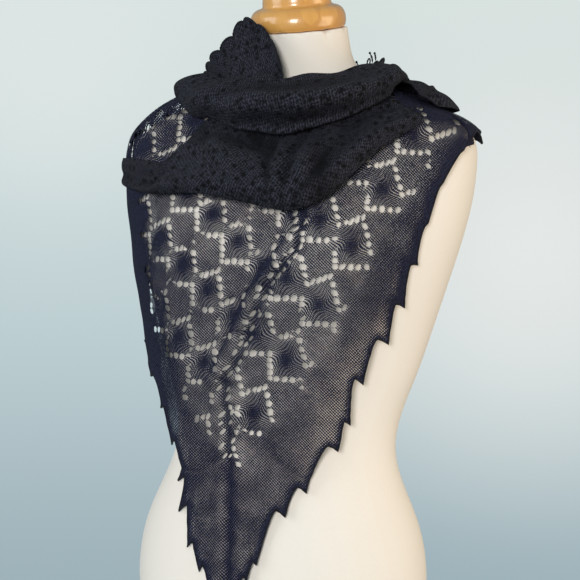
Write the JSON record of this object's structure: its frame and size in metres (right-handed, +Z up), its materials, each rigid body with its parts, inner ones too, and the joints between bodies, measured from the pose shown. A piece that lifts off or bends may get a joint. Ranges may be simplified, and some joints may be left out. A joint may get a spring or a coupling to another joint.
{
  "type": "lace shawl on a dress form",
  "caption": "Dark knitted triangular lace shawl worn point-down with a cowl at the neck and picot edges, on a limbless cream linen dress form with a turned wooden neck cap.",
  "frame": {"origin": "centre of the dress form's flat underside", "axes": "+Z up along the form; -Y is the form's front, towards which the shawl's point hangs; +X is the form's own left side"},
  "size_m": [0.4169, 0.2767, 0.7296],
  "materials": {
    "linen": "plain cream linen over a padded form",
    "maple": "turned and varnished",
    "lace": "fine matte wool knit"
  },
  "bodies": {
    "root": {"dress_form_torso": "linen", "dress_form_neck_cap": "maple", "shawl_lace_front": "lace", "shawl_border_front": "lace", "shawl_shoulder_left": "lace", "shawl_back": "lace", "shawl_shoulder_right": "lace", "shawl_cowl_lower": "lace", "shawl_cowl_upper": "lace", "shawl_wing_end_right": "lace", "shawl_wing_end_left": "lace", "shawl_shoulder_fold_left": "lace"}
  },
  "joints": []
}
